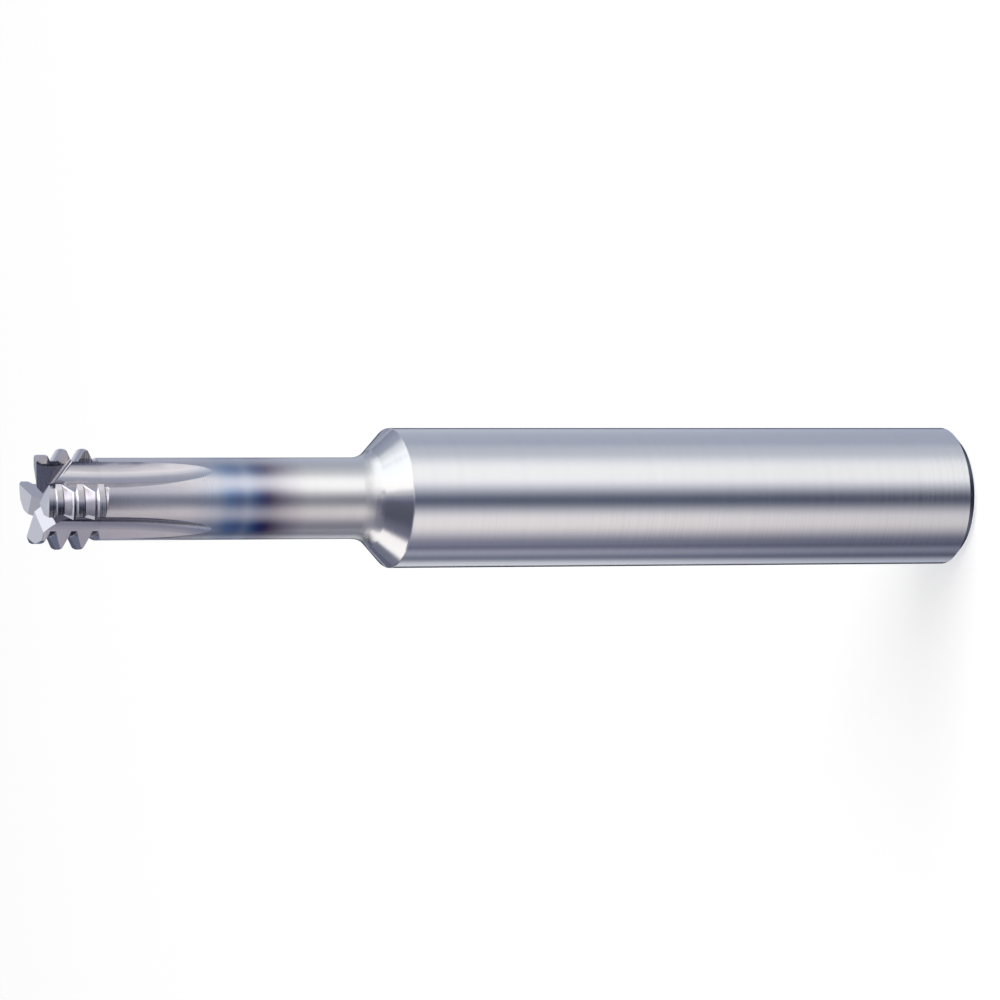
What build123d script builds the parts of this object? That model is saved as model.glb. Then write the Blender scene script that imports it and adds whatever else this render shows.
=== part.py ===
from build123d import *
from math import atan2, cos, degrees, hypot, radians, sin, sqrt, tan
import os

os.makedirs("parts", exist_ok=True)

# A solid carbide thread mill, ground from one rod. It stands on the flat end of its shank and
# +Z runs up the axis to the cutting tip. Millimetres and degrees.

# Body
overall_length = 57.0
shank_diameter = 8.0
shank_length = 35.5
shank_end_chamfer = 0.5
shoulder_break = 0.12
cone_half_angle = 45.0
neck_diameter = 4.65
neck_fillet_radius = 1.5

# Thread form of the head: the teeth stand in rows one pitch apart, with no helix
pitch = 1.25
thread_angle = 60.0
tooth_rows = 3
crest_diameter = 5.92
crest_flat = pitch / 8
root_flat = 0.275 * pitch

# End row: its crest is cut down, and its corner runs in to the end face
end_row_setback = 0.36
end_row_drop = 0.335
end_corner_drop = 0.355
end_corner_length = 0.19

# Lands: left-hand cutting, so seen from the tip each cutting edge leads clockwise
land_count = 4
first_edge_angle = -23.1
crest_relief_angle = 7.5
flank_relief_angle = 9.0

# Flutes: straight, ground with a wheel whose rim is rounded between two flanks
core_diameter = 3.52
flute_floor_radius = 1.2
flute_opening_angle = 100.0
rake_angle = -8.0
flute_full_length = 3.7
flute_wheel_diameter = 74.0

# End teeth: a V-shaped gash ahead of each edge, and the end face backed off behind it
gash_rake_angle = 2.0
gash_floor_angle = 30.0
gash_opening_angle = 48.0
gash_floor_radius = 0.2
gash_depth = 1.03
end_relief_angle = 11.0
end_dish_angle = 9.0

# Worked out from the sizes above
shank_radius = shank_diameter / 2
neck_radius = neck_diameter / 2
crest_radius = crest_diameter / 2
core_radius = core_diameter / 2
wheel_radius = flute_wheel_diameter / 2
flank_slope = tan(radians(thread_angle / 2))
half_tooth = (pitch - root_flat) / 2
root_radius = crest_radius - (half_tooth - crest_flat / 2) / flank_slope
end_row_radius = crest_radius - end_row_drop
end_corner_radius = end_row_radius - end_corner_drop
cone_length = (shank_radius - neck_radius) / tan(radians(cone_half_angle))
head_length = end_row_setback + (tooth_rows - 0.5) * pitch
clear = 0.5 * crest_radius
stock_radius = crest_radius + 0.1 * clear
beyond = 2 * crest_radius
# Each gash runs on past the axis: enough to clear the middle, but short of the opposite tooth
gash_overrun = 0.52 * gash_depth


def below_tip(depth):
    """Height of a point that lies this far below the tip plane."""
    return overall_length - depth


def polar(radius, angle):
    """Point of a plan view by radius and angle."""
    return Vector(radius * cos(radians(angle)), radius * sin(radians(angle)))


def body_blank():
    """Shank, cone and neck turned in one, with uncut stock left for the head."""
    neck_start = shank_length + cone_length
    head_start = below_tip(head_length)
    outline = Polyline(
        (0, 0),
        (shank_radius, 0),
        (shank_radius, shank_length),
        (neck_radius, neck_start),
        (neck_radius, head_start),
        (stock_radius, head_start),
        (stock_radius, overall_length),
        (0, overall_length),
        close=True,
    )
    section = make_face(Plane.XZ * outline)
    blank = revolve(section, Axis.Z)
    rims = blank.edges().filter_by(GeomType.CIRCLE)
    end_rim = rims.sort_by(Axis.Z)[0]
    blank = chamfer(end_rim, shank_end_chamfer)
    rims = blank.edges().filter_by(GeomType.CIRCLE)
    shoulder = rims.sort_by(lambda rim: abs(rim.center().Z - shank_length))[0]
    blank = fillet(shoulder, shoulder_break)
    rims = blank.edges().filter_by(GeomType.CIRCLE)
    throat = rims.sort_by(lambda rim: abs(rim.center().Z - neck_start))[0]
    return fillet(throat, neck_fillet_radius)


def relief_cut(outline, relief_angle, edge_angle):
    """Outline of one land swung about an axis that is set off square to its cutting edge.

    The offset makes the surface fall away from its full radius at the edge towards the heel.
    """
    offset = crest_radius * tan(radians(relief_angle))
    centre = polar(offset, edge_angle - 90)
    growth = hypot(crest_radius, offset) - crest_radius
    edge_turn = degrees(atan2(offset, crest_radius))
    lead_in = 36 / land_count
    start = edge_angle + edge_turn - lead_in
    plane = Plane(origin=centre, x_dir=polar(1, start), z_dir=polar(1, start - 90))
    points = [(radius + growth, height) for radius, height in outline]
    section = make_face(plane * Polyline(*points, close=True))
    return revolve(section, Axis(centre, (0, 0, 1)), revolution_arc=280 / land_count)


def flank_cut(edge_angle):
    """Space between the teeth of one land, with every tooth left sharp."""
    outline = [(beyond, below_tip(-clear))]
    for row in range(tooth_rows):
        middle = end_row_setback + row * pitch
        outline.append((root_radius, below_tip(middle - half_tooth)))
        outline.append((root_radius + half_tooth / flank_slope, below_tip(middle)))
        outline.append((root_radius, below_tip(middle + half_tooth)))
    groove_end = end_row_setback + tooth_rows * pitch - half_tooth
    outline.append((root_radius, below_tip(groove_end)))
    outline.append((beyond, below_tip(groove_end + (beyond - root_radius) * flank_slope)))
    return relief_cut(outline, flank_relief_angle, edge_angle)


def crest_cut(edge_angle):
    """Space outside the crests of one land, with the lower end row and its corner."""
    corner_slope = end_corner_drop / end_corner_length
    corner_run = clear / 4
    step = below_tip(end_row_setback + pitch / 2)
    outline = [
        (beyond, below_tip(-corner_run)),
        (end_corner_radius - corner_slope * corner_run, below_tip(-corner_run)),
        (end_row_radius, below_tip(end_corner_length)),
        (end_row_radius, step),
        (crest_radius, step),
        (crest_radius, below_tip(head_length)),
        (beyond, below_tip(head_length)),
    ]
    return relief_cut(outline, crest_relief_angle, edge_angle)


def flute(edge_angle):
    """Space of the flute ahead of one cutting edge, with the wheel's arc where it runs out."""
    edge = polar(crest_radius, edge_angle)
    rake_side = polar(1, edge_angle - rake_angle)
    into_flute = polar(1, edge_angle - rake_angle - 90)
    heel_side = polar(1, edge_angle - rake_angle - flute_opening_angle)
    into_heel = polar(1, edge_angle - rake_angle - flute_opening_angle + 90)

    across = edge.dot(into_flute) + flute_floor_radius
    along = sqrt((core_radius + flute_floor_radius) ** 2 - across ** 2)
    centre = into_flute * across + rake_side * along
    infeed = centre.normalized()

    rake_foot = centre - into_flute * flute_floor_radius
    heel_foot = centre - into_heel * flute_floor_radius
    lowest = centre - infeed * flute_floor_radius
    reach = crest_radius + clear
    rake_end = rake_foot + rake_side * reach
    heel_end = heel_foot + heel_side * reach
    outline = Line(rake_foot, rake_end) + Line(rake_end, heel_end) + Line(heel_end, heel_foot)
    outline += ThreePointArc(heel_foot, lowest, rake_foot)
    level = Location((0, 0, below_tip(flute_full_length)))
    section = level * make_face(outline)
    straight = extrude(section, flute_full_length + clear, dir=(0, 0, 1))

    wheel_centre = infeed * (core_radius + wheel_radius)
    wheel_centre += Vector(0, 0, below_tip(flute_full_length))
    spindle = Axis(wheel_centre, infeed.cross(Vector(0, 0, 1)))
    rise = neck_radius - core_radius
    swing = 1.6 * degrees(sqrt(2 * rise / wheel_radius))
    run_out = revolve(section, spindle, revolution_arc=swing)
    return [straight, run_out]


def end_gash(edge_angle):
    """V-shaped groove down the front of one end edge, sloping away from the axis."""
    outward = polar(1, edge_angle - gash_rake_angle)
    behind = polar(1, edge_angle - gash_rake_angle + 90)
    wall_offset = polar(crest_radius, edge_angle).dot(behind)
    up = Vector(0, 0, 1)
    slope = radians(gash_floor_angle)
    along = outward * cos(slope) - up * sin(slope)
    root_point = behind * wall_offset + up * below_tip(gash_depth)
    reach = overall_length / 6
    start = root_point - along * gash_overrun
    plane = Plane(origin=start, x_dir=outward * sin(slope) + up * cos(slope), z_dir=along)
    half = radians(gash_opening_angle)
    outline = Polyline((0, 0), (reach, 0), (reach * cos(half), reach * sin(half)), close=True)
    section = make_face(outline)
    corner = section.vertices().sort_by_distance((0, 0))[0]
    section = fillet(corner, gash_floor_radius)
    return extrude(plane * section, 3 * crest_radius, dir=along)


def end_relief(edge_angle):
    """Space above one end face: it is hollow towards the axis and falls away behind its edge."""
    outward = polar(1, edge_angle - gash_rake_angle)
    behind = polar(1, edge_angle - gash_rake_angle + 90)
    wall_offset = polar(crest_radius, edge_angle).dot(behind)
    inner = (behind - outward) * wall_offset
    reach = 3 * crest_radius
    sector = Polyline(
        inner,
        inner + outward * reach,
        inner + (outward + behind) * reach,
        inner + behind * reach,
        close=True,
    )
    level = Location((0, 0, below_tip(2 * pitch)))
    block = extrude(level * make_face(sector), 2 * pitch + clear, dir=(0, 0, 1))
    run = sqrt(end_corner_radius ** 2 - wall_offset ** 2)
    corner = behind * wall_offset + outward * run + Vector(0, 0, overall_length)
    tilt = behind * tan(radians(end_relief_angle)) - outward * tan(radians(end_dish_angle))
    face = Plane(origin=corner, z_dir=tilt + Vector(0, 0, 1))
    return split(block, bisect_by=face, keep=Keep.TOP)


tool = body_blank()
for land in range(land_count):
    edge_angle = first_edge_angle + land * 360 / land_count
    tool -= flank_cut(edge_angle)
    tool -= crest_cut(edge_angle)
    tool -= flute(edge_angle)
    tool -= end_gash(edge_angle)
    tool -= end_relief(edge_angle)

tool = tool.solid()
tool.label = "thread_mill"
export_step(tool, "parts/thread_mill.step")
print("volume", round(tool.volume, 2), "valid", tool.is_valid, "faces", len(tool.faces()))
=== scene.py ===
import math
import bpy
from mathutils import Euler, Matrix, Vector


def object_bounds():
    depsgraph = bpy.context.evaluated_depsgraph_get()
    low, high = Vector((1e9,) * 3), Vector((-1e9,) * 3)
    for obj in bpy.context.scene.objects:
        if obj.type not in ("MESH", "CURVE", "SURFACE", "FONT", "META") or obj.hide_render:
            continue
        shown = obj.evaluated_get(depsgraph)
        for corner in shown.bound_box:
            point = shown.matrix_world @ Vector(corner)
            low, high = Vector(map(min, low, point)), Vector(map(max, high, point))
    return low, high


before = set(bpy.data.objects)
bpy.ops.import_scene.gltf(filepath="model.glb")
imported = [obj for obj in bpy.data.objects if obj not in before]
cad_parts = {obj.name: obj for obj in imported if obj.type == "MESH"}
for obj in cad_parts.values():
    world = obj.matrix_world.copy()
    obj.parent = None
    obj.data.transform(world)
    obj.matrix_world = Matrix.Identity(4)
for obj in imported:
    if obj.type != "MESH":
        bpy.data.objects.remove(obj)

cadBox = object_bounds()
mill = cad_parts["thread_mill"]
baseZ = cadBox[0].z
tipZ = cadBox[1].z
mm = 0.001
tall = (tipZ - baseZ) / mm
middle = Vector((0, 0, (baseZ + tipZ) / 2))
print("thread mill loaded,", round(tall, 1), "mm tall")


# small helpers

def newMaterial(name):
    mat = bpy.data.materials.new(name)
    mat.use_nodes = True
    mat.node_tree.nodes.clear()
    return mat, mat.node_tree.nodes, mat.node_tree.links


def rampOf(nodes, stops, mode="LINEAR"):
    # stops: (position, colour), in rising order
    node = nodes.new("ShaderNodeValToRGB")
    ramp = node.color_ramp
    ramp.interpolation = mode
    while len(ramp.elements) > 1:
        ramp.elements.remove(ramp.elements[-1])
    ramp.elements[0].position = stops[0][0]
    ramp.elements[0].color = (*stops[0][1], 1)
    for place, colour in stops[1:]:
        stop = ramp.elements.new(place)
        stop.color = (*colour, 1)
    return node


def rangeOf(nodes, links, value, fromMin, fromMax, toMin=0, toMax=1, mode="LINEAR"):
    node = nodes.new("ShaderNodeMapRange")
    node.interpolation_type = mode
    node.inputs["From Min"].default_value = fromMin
    node.inputs["From Max"].default_value = fromMax
    node.inputs["To Min"].default_value = toMin
    node.inputs["To Max"].default_value = toMax
    links.new(value, node.inputs["Value"])
    return node.outputs["Result"]


def mathOf(nodes, links, operation, first, second=0):
    # second is a socket or a number
    node = nodes.new("ShaderNodeMath")
    node.operation = operation
    links.new(first, node.inputs[0])
    if isinstance(second, (int, float)):
        node.inputs[1].default_value = second
    else:
        links.new(second, node.inputs[1])
    return node.outputs["Value"]


def mixOf(nodes, links, share, first, second, blend="MIX"):
    # share is a socket or a number, first and second are sockets or plain colours
    node = nodes.new("ShaderNodeMix")
    node.data_type = "RGBA"
    node.blend_type = blend
    if isinstance(share, (int, float)):
        node.inputs["Factor"].default_value = share
    else:
        links.new(share, node.inputs["Factor"])
    for side, value in (("A", first), ("B", second)):
        socket = [s for s in node.inputs if s.name == side and s.type == "RGBA"][0]
        if isinstance(value, tuple):
            socket.default_value = (*value, 1)
        else:
            links.new(value, socket)
    return [s for s in node.outputs if s.type == "RGBA"][0]


def groundMarks(nodes, links, coords, marks):
    # noise stretched round the tool
    mapping = nodes.new("ShaderNodeMapping")
    mapping.inputs["Scale"].default_value = (marks["across"], marks["across"], marks["along"])
    noise = nodes.new("ShaderNodeTexNoise")
    noise.inputs["Scale"].default_value = 1.0
    noise.inputs["Detail"].default_value = marks["detail"]
    links.new(coords.outputs["Object"], mapping.inputs["Vector"])
    links.new(mapping.outputs["Vector"], noise.inputs["Vector"])
    return noise.outputs["Fac"]


def seenRays(nodes, links):
    # 1 for camera, glossy and transmission rays
    rays = nodes.new("ShaderNodeLightPath")
    seen = mathOf(nodes, links, "MAXIMUM", rays.outputs["Is Camera Ray"], rays.outputs["Is Glossy Ray"])
    return mathOf(nodes, links, "MAXIMUM", seen, rays.outputs["Is Transmission Ray"])


def direction(azimuth, elevation):
    # azimuth 0 points to the camera's side (-Y), 90 along +X
    a = math.radians(azimuth)
    e = math.radians(elevation)
    return Vector((math.sin(a) * math.cos(e), -math.cos(a) * math.cos(e), math.sin(e)))


# carbide: bare ground metal, with the coating on neck and head

carbide = {
    "bare": (0.57, 0.575, 0.60),
    "coat": (0.49, 0.475, 0.51),
    "coatEdge": (42.0, 47.0),      # heights in mm
    # heat tint of the coating's edge, as filters over the metal, by height in mm
    "tint": {
        35.4: (1.0, 1.0, 1.0),
        35.6: (1.0, 0.955, 0.91),
        37.5: (1.0, 0.96, 0.90),
        39.0: (1.0, 0.965, 0.90),
        41.2: (0.98, 0.94, 0.87),
        42.1: (0.72, 0.65, 0.66),
        42.8: (0.46, 0.40, 0.45),
        43.3: (0.26, 0.20, 0.27),
        43.7: (0.08, 0.07, 0.21),
        44.1: (0.07, 0.09, 0.29),
        44.5: (0.12, 0.23, 0.46),
        44.9: (0.34, 0.47, 0.67),
        45.4: (0.22, 0.33, 0.60),
        46.0: (0.22, 0.42, 0.72),
        46.8: (0.68, 0.80, 0.93),
        48.4: (1.0, 1.0, 1.0),
    },
    # the tint's depth round the tool is painted shade and highlight: deep in this many patches where
    # the metal mirrors dark bands, pale between them where it mirrors bright ones, and deeper on the -X
    # side of the neck as painted shade
    "shadePatches": 8,
    "depth": (0.42, 0.9),
    "shadeSlope": 0.2,
    "neckRadius": 2.3,             # mm
    # (height in mm, roughness) of shank, neck, flutes and teeth
    "roughness": ((36.6, 0.14), (37.3, 0.30), (46.0, 0.33), (49.0, 0.20), (53.2, 0.17), (53.5, 0.09)),
    "roughnessSpread": 0.03,
    "anisotropy": 0.5,
    # marks of the grinding wheel: noise cells per metre across the tool and along its axis, and
    # the noise values at which a mark begins and is full
    "rings": {"across": 60, "along": 9000, "detail": 4, "least": 0.25, "most": 0.75},
    "streaks": {"across": 20, "along": 1800, "detail": 5, "least": 0.3, "most": 0.7},
    "streakShade": 0.97,
    "bump": 0.1,
    "bumpDepth": 0.02,             # mm
}


def makeCarbide():
    c = carbide
    mat, nodes, links = newMaterial("groundCarbide")
    out = nodes.new("ShaderNodeOutputMaterial")
    shader = nodes.new("ShaderNodeBsdfPrincipled")
    links.new(shader.outputs["BSDF"], out.inputs["Surface"])
    shader.inputs["Metallic"].default_value = 1.0
    shader.inputs["Anisotropic"].default_value = c["anisotropy"]
    shader.inputs["Anisotropic Rotation"].default_value = 0.25    # a quarter turn

    coords = nodes.new("ShaderNodeTexCoord")
    split = nodes.new("ShaderNodeSeparateXYZ")
    links.new(coords.outputs["Object"], split.inputs["Vector"])

    # bare shank and foot of the neck, coated neck and head
    height = rangeOf(nodes, links, split.outputs["Z"], baseZ, tipZ)
    low, high = (edge / tall for edge in c["coatEdge"])
    metal = mixOf(nodes, links, rangeOf(nodes, links, height, low, high), c["bare"], c["coat"])

    # heat tint, the coating's own colour by height; its depth round the tool is painted shade and
    # highlight, deep in patches where dark bands are mirrored and pale where bright ones are
    tint = rampOf(nodes, [(place / tall, colour) for place, colour in c["tint"].items()])
    links.new(height, tint.inputs["Fac"])
    around = mathOf(nodes, links, "ARCTAN2", split.outputs["Y"], split.outputs["X"])
    shadeWave = mathOf(nodes, links, "COSINE", mathOf(nodes, links, "MULTIPLY", around, c["shadePatches"]))
    depth = rangeOf(nodes, links, shadeWave, -1, 1, c["depth"][0], c["depth"][1])
    reach = c["neckRadius"] * mm
    steep = c["shadeSlope"]
    # painted shade: the tint deepens towards the -X side of the neck
    slope = rangeOf(nodes, links, split.outputs["X"], -reach, reach, steep, -steep)
    depth = mathOf(nodes, links, "ADD", depth, slope)
    tintedAndShaded = mixOf(nodes, links, depth, metal, tint.outputs["Color"], "MULTIPLY")

    # fine rings and streaks left by the grinding wheel
    rings = groundMarks(nodes, links, coords, c["rings"])
    streaks = groundMarks(nodes, links, coords, c["streaks"])
    shade = (c["streakShade"],) * 3
    streaky = rampOf(nodes, [(c["streaks"]["least"], shade), (c["streaks"]["most"], (1, 1, 1))])
    links.new(streaks, streaky.inputs["Fac"])
    full = mixOf(nodes, links, 1, tintedAndShaded, streaky.outputs["Color"], "MULTIPLY")
    links.new(full, shader.inputs["Base Color"])
    finish = rampOf(nodes, [(place / tall, (value, value, value)) for place, value in c["roughness"]])
    links.new(height, finish.inputs["Fac"])
    least = c["rings"]["least"]
    most = c["rings"]["most"]
    spread = rangeOf(nodes, links, rings, least, most, -c["roughnessSpread"], c["roughnessSpread"])
    links.new(mathOf(nodes, links, "ADD", finish.outputs["Color"], spread), shader.inputs["Roughness"])
    bump = nodes.new("ShaderNodeBump")
    bump.inputs["Strength"].default_value = c["bump"]
    bump.inputs["Distance"].default_value = c["bumpDepth"] * mm
    links.new(rings, bump.inputs["Height"])
    links.new(bump.outputs["Normal"], shader.inputs["Normal"])

    turn = nodes.new("ShaderNodeTangent")
    turn.direction_type = "RADIAL"
    turn.axis = "Z"
    links.new(turn.outputs["Tangent"], shader.inputs["Tangent"])
    return mat


mill.material_slots[0].material = makeCarbide()
print("carbide dressed")


# pale floor

floorPale = {"colour": (0.86, 0.86, 0.86), "size": 3.0, "glow": 0.42}


def makeFloor():
    f = floorPale
    bpy.ops.object.select_all(action="DESELECT")
    bpy.ops.mesh.primitive_plane_add(size=f["size"], location=(0, 0, baseZ))
    floor = bpy.context.object
    floor.name = "floor"
    mat, nodes, links = newMaterial("paleFloor")
    out = nodes.new("ShaderNodeOutputMaterial")
    paper = nodes.new("ShaderNodeBsdfDiffuse")
    paper.inputs["Color"].default_value = (*f["colour"], 1)
    glow = nodes.new("ShaderNodeEmission")
    strength = mathOf(nodes, links, "MULTIPLY", seenRays(nodes, links), f["glow"])
    links.new(strength, glow.inputs["Strength"])
    both = nodes.new("ShaderNodeAddShader")
    links.new(paper.outputs["BSDF"], both.inputs[0])
    links.new(glow.outputs["Emission"], both.inputs[1])
    links.new(both.outputs["Shader"], out.inputs["Surface"])
    floor.data.materials.append(mat)
    floor.visible_glossy = False


makeFloor()


# pale room: soft light from all round, and a white background

room = {"colour": (1.0, 1.0, 1.0), "light": 0.44, "background": 1.0}


def makeRoom():
    world = bpy.data.worlds.new("paleRoom")
    bpy.context.scene.world = world
    world.use_nodes = True
    nodes = world.node_tree.nodes
    links = world.node_tree.links
    nodes.clear()
    out = nodes.new("ShaderNodeOutputWorld")
    air = nodes.new("ShaderNodeBackground")
    air.inputs["Color"].default_value = (*room["colour"], 1)
    level = rangeOf(nodes, links, seenRays(nodes, links), 0, 1, room["light"], room["background"])
    links.new(level, air.inputs["Strength"])
    links.new(air.outputs["Background"], out.inputs["Surface"])


makeRoom()


# two soft boxes, sizes in metres

lamps = {
    "keyBox": {"azimuth": 62, "elevation": 52, "distance": 0.40, "size": 0.34, "glow": 2.0},
    "lowBox": {"azimuth": -106, "elevation": 42, "distance": 0.40, "size": 0.13, "glow": 2.0},
}


def makeLamps():
    for name, lamp in lamps.items():
        way = direction(lamp["azimuth"], lamp["elevation"])
        place = middle + way * lamp["distance"]
        turn = way.to_track_quat("Z", "Y").to_euler()
        bpy.ops.object.light_add(type="AREA", location=place, rotation=turn)
        box = bpy.context.object
        box.name = name
        box.data.shape = "SQUARE"
        box.data.size = lamp["size"]
        box.data.energy = lamp["glow"] * math.pi * lamp["size"] ** 2
        box.visible_camera = False
        box.visible_glossy = False


makeLamps()
print("floor, room and lamps set")


# what the metal mirrors: a tent of reflector cloth in soft bands

tent = {
    "radius": 0.7,                 # metres
    "segments": 64,                # round each reflector
    "brightest": 5.0,
    "cool": (0.70, 0.83, 1.40),    # tint of the darkest bands, and how fast it fades with the level
    "coolFade": 0.6,
    # cast of the light, warm below the tool in the picture and cool above it: (azimuth, colour)
    "cast": (
        (-90, (1.0, 0.97, 1.0)), (-45, (1.05, 0.99, 0.96)), (0, (0.97, 1.0, 1.06)),
        (40, (1.01, 1.0, 0.98)), (95, (0.96, 1.01, 1.05)), (180, (0.95, 1.0, 1.07)),
        (240, (1.0, 1.0, 1.0)), (270, (1.0, 0.97, 1.0)),
    ),
    # rings of cloth from the bottom up: the elevations over which each takes over from the one
    # below it, and its levels as (azimuth, level)
    "rings": {
        "below": ((-90, -90), (
            (-90, 0.5), (-22, 0.7), (2, 1.3), (12, 1.6), (30, 4.6), (62, 4.6), (80, 1.2),
            (115, 0.6), (150, 0.5), (170, 0.04), (190, 0.04), (210, 0.5), (270, 0.5),
        )),
        "lower": ((-38, -31), (
            (-90, 0.15), (-82, 0.2), (-44, 0.92), (-37, 0.92), (-5, 0.1), (34, 1.22), (46, 1.22),
            (82, 0.84), (105, 0.66), (150, 0.62), (157, 0.5), (166, 0.08), (200, 0.04),
            (209, 0.65), (220, 0.55), (240, 0.16), (257, 0.32), (270, 0.15),
        )),
        "sides": ((-28, -23), (
            (-90, 0.28), (-82, 0.38), (-44, 1.26), (-37, 1.26), (-5, 0.21), (34, 1.52), (46, 1.52),
            (82, 0.86), (105, 0.68), (150, 0.74), (157, 0.6), (166, 0.08), (200, 0.04),
            (209, 0.95), (220, 0.85), (240, 0.30), (257, 0.55), (270, 0.28),
        )),
        "level": ((-12, -1), (
            (-90, 0.8), (-82, 0.5), (-60, 0.5), (-42, 1.0), (-12, 0.55), (2, 0.7), (24, 1.65),
            (50, 1.65), (80, 1.1), (96, 1.1), (140, 0.5), (150, 0.33), (158, 0.36), (168, 0.85),
            (177, 0.8), (186, 0.4), (194, 0.16), (202, 0.18), (212, 0.3), (222, 0.3), (240, 0.9),
            (256, 1.7), (264, 1.7), (270, 0.8),
        )),
        "upper": ((10, 28), (
            (-90, 0.42), (-80, 0.34), (-45, 0.36), (-10, 0.26), (20, 1.3), (34, 1.75), (100, 1.75),
            (113, 1.3), (127, 0.6), (145, 0.5), (165, 1.05), (190, 1.05), (205, 0.3), (228, 0.3),
            (237, 1.7), (258, 1.7), (266, 0.7), (270, 0.5),
        )),
        "high": ((45, 52), (
            (-90, 0.28), (-60, 0.16), (-16, 0.19), (2, 0.42), (14, 0.85), (34, 1.8), (94, 1.8),
            (100, 0.3), (123, 0.3), (129, 2.6), (148, 2.6), (164, 1.1), (200, 1.0), (250, 0.6),
            (262, 0.3), (270, 0.3),
        )),
        "overhead": ((74, 80), ((-90, 0.5), (0, 0.5), (90, 1.3), (135, 2.6), (180, 1.3), (270, 0.5))),
    },
}


def clothColour(level):
    # the darker the cloth, the cooler its tint
    share = min(level, 1) ** tent["coolFade"]
    return tuple(level * (cool + (1 - cool) * share) / tent["brightest"] for cool in tent["cool"])


def glowingCloth(name):
    mat, nodes, links = newMaterial(name)
    out = nodes.new("ShaderNodeOutputMaterial")
    glow = nodes.new("ShaderNodeEmission")
    glow.inputs["Strength"].default_value = tent["brightest"]
    links.new(glow.outputs["Emission"], out.inputs["Surface"])
    return mat, glow


def roundTheTool(nodes, links, bands):
    # bands: (azimuth, colour) from -90 to 270, each fading into the next
    coords = nodes.new("ShaderNodeTexCoord")
    sweep = nodes.new("ShaderNodeTexGradient")
    sweep.gradient_type = "RADIAL"
    links.new(coords.outputs["Object"], sweep.inputs["Vector"])
    ramp = rampOf(nodes, [(azimuth / 360 + 0.25, colour) for azimuth, colour in bands], "EASE")
    links.new(sweep.outputs["Fac"], ramp.inputs["Fac"])
    return ramp.outputs["Color"]


def clothRing(nodes, links, levels):
    return roundTheTool(nodes, links, [(azimuth, clothColour(level)) for azimuth, level in levels])


def lightUp(nodes, links, glow, colour):
    cast = roundTheTool(nodes, links, tent["cast"])
    links.new(mixOf(nodes, links, 1, colour, cast, "MULTIPLY"), glow.inputs["Color"])


def hideFromAllButMetal(cloth):
    cloth.visible_camera = False
    cloth.visible_diffuse = False
    cloth.visible_shadow = False


def makeTent():
    t = tent
    bpy.ops.object.select_all(action="DESELECT")
    bpy.ops.mesh.primitive_uv_sphere_add(
        segments=t["segments"], ring_count=t["segments"] // 2, radius=t["radius"], location=middle)
    bpy.ops.object.shade_smooth()
    cloth = bpy.context.object
    cloth.name = "reflectorTent"
    mat, glow = glowingCloth("reflectorCloth")
    nodes = mat.node_tree.nodes
    links = mat.node_tree.links
    coords = nodes.new("ShaderNodeTexCoord")
    split = nodes.new("ShaderNodeSeparateXYZ")
    links.new(coords.outputs["Object"], split.inputs["Vector"])
    whole = None
    for elevations, levels in t["rings"].values():
        ring = clothRing(nodes, links, levels)
        if whole:
            low, high = (t["radius"] * math.sin(math.radians(e)) for e in elevations)
            rise = rangeOf(nodes, links, split.outputs["Z"], low, high, mode="SMOOTHSTEP")
            ring = mixOf(nodes, links, rise, whole, ring)
        whole = ring
    lightUp(nodes, links, glow, whole)
    cloth.data.materials.append(mat)
    hideFromAllButMetal(cloth)


makeTent()


# open bands round the tool, one mirrored by the flutes and one by the teeth: radius and heights
# in mm, levels as (azimuth, level)

collars = {
    "fluteCollar": {"radius": 57, "low": 27.5, "high": 33.2, "levels": (
        (-90, 0.35), (-75, 0.46), (-54, 0.57), (-34, 0.92), (-18, 0.68), (0, 0.68), (14, 0.82),
        (36, 0.80), (46, 1.05), (62, 0.95), (90, 0.62), (112, 0.64), (140, 0.72), (176, 0.3),
        (200, 0.5), (222, 0.02), (258, 0.02), (270, 0.35),
    )},
    "teethCollar": {"radius": 44, "low": 38.2, "high": 42.8, "levels": (
        (-90, 0.45), (-75, 0.50), (-54, 0.62), (-36, 0.75), (-26, 0.02), (-4, 0.02), (6, 0.2),
        (18, 0.8), (34, 1.0), (42, 1.1), (50, 1.5), (62, 1.3), (90, 0.65), (112, 0.60),
        (140, 0.66), (176, 0.4), (215, 0.2), (226, 0.04), (254, 0.04), (264, 0.5), (270, 0.5),
    )},
}


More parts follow.
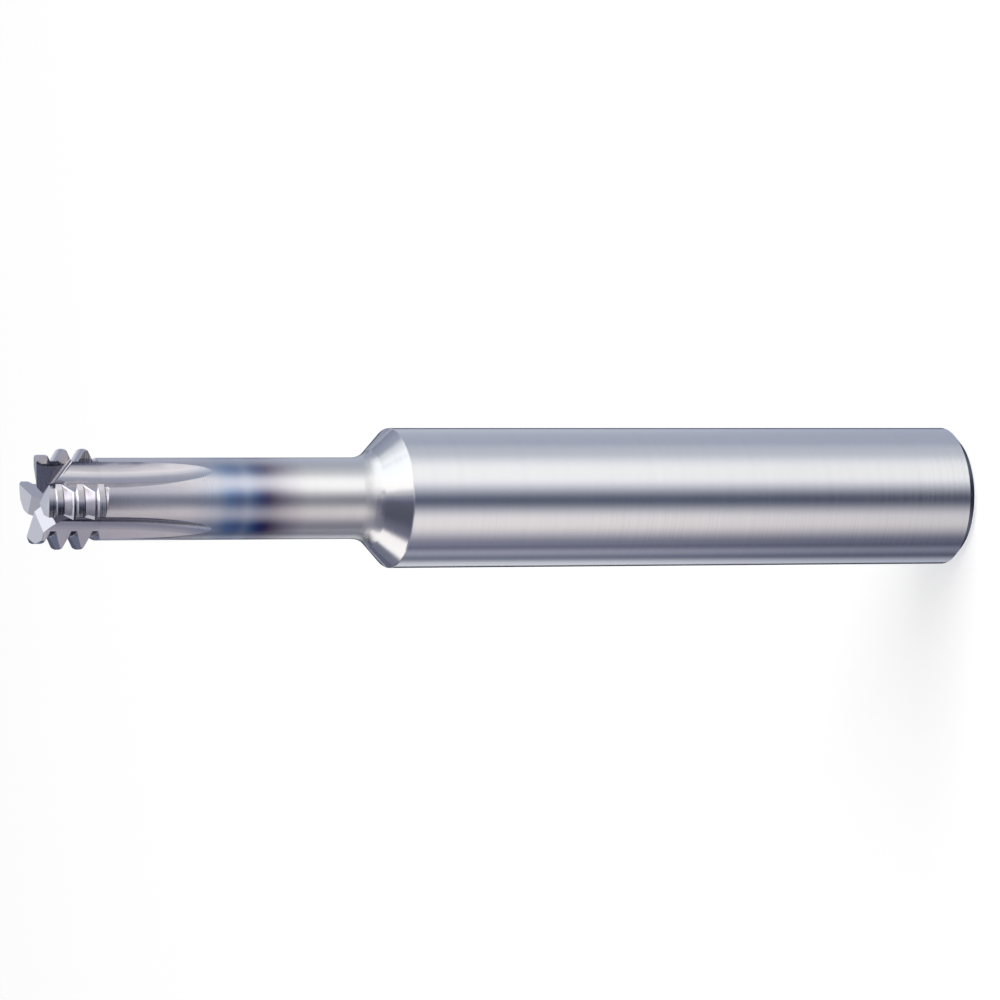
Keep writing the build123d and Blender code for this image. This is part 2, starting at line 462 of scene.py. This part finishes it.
def makeCollars():
    for name, collar in collars.items():
        low = collar["low"] * mm
        high = collar["high"] * mm
        bpy.ops.object.select_all(action="DESELECT")
        bpy.ops.mesh.primitive_cylinder_add(
            vertices=tent["segments"], radius=collar["radius"] * mm, depth=high - low,
            end_fill_type="NOTHING", location=(0, 0, baseZ + (low + high) / 2))
        bpy.ops.object.shade_smooth()
        cloth = bpy.context.object
        cloth.name = name
        mat, glow = glowingCloth(name)
        nodes = mat.node_tree.nodes
        links = mat.node_tree.links
        lightUp(nodes, links, glow, clothRing(nodes, links, collar["levels"]))
        cloth.data.materials.append(mat)
        hideFromAllButMetal(cloth)


makeCollars()


# a small flag over the tip, mirrored by the gash of the far tooth alone: distance and size in mm

wallFlag = {"azimuth": -114, "elevation": 29, "distance": 20, "size": 9, "level": 0.75}


def makeWallFlag():
    f = wallFlag
    way = direction(f["azimuth"], f["elevation"])
    place = Vector((0, 0, tipZ)) + way * f["distance"] * mm
    turn = way.to_track_quat("Z", "Y").to_euler()
    bpy.ops.object.select_all(action="DESELECT")
    bpy.ops.mesh.primitive_circle_add(
        vertices=tent["segments"] // 2, radius=f["size"] / 2 * mm, fill_type="NGON",
        location=place, rotation=turn)
    flag = bpy.context.object
    flag.name = "wallFlag"
    mat, glow = glowingCloth("wallFlag")
    glow.inputs["Color"].default_value = (*clothColour(f["level"]), 1)
    flag.data.materials.append(mat)
    hideFromAllButMetal(flag)


makeWallFlag()
print("reflectors set")


# camera: looks down at the standing tool, turned so that the tip points left

shot = {
    "aim": (-0.14, 0, 28.6),   # mm
    "distance": 424.7,         # mm
    "down": 22.58,             # degrees
    "roll": -90.24,
    "lens": 266.2,
    "sensor": 36,
}


def makeCamera():
    away = direction(0, shot["down"])
    place = (Vector(shot["aim"]) + away * shot["distance"]) * mm
    turn = Euler((math.radians(90 - shot["down"]), 0, 0)).to_matrix()
    turn = turn @ Euler((0, 0, math.radians(shot["roll"]))).to_matrix()
    bpy.ops.object.camera_add(location=place, rotation=turn.to_euler())
    camera = bpy.context.object
    camera.data.lens = shot["lens"]
    camera.data.sensor_width = shot["sensor"]
    bpy.context.scene.camera = camera


makeCamera()
bpy.context.scene.view_settings.view_transform = "Standard"
print("camera set")
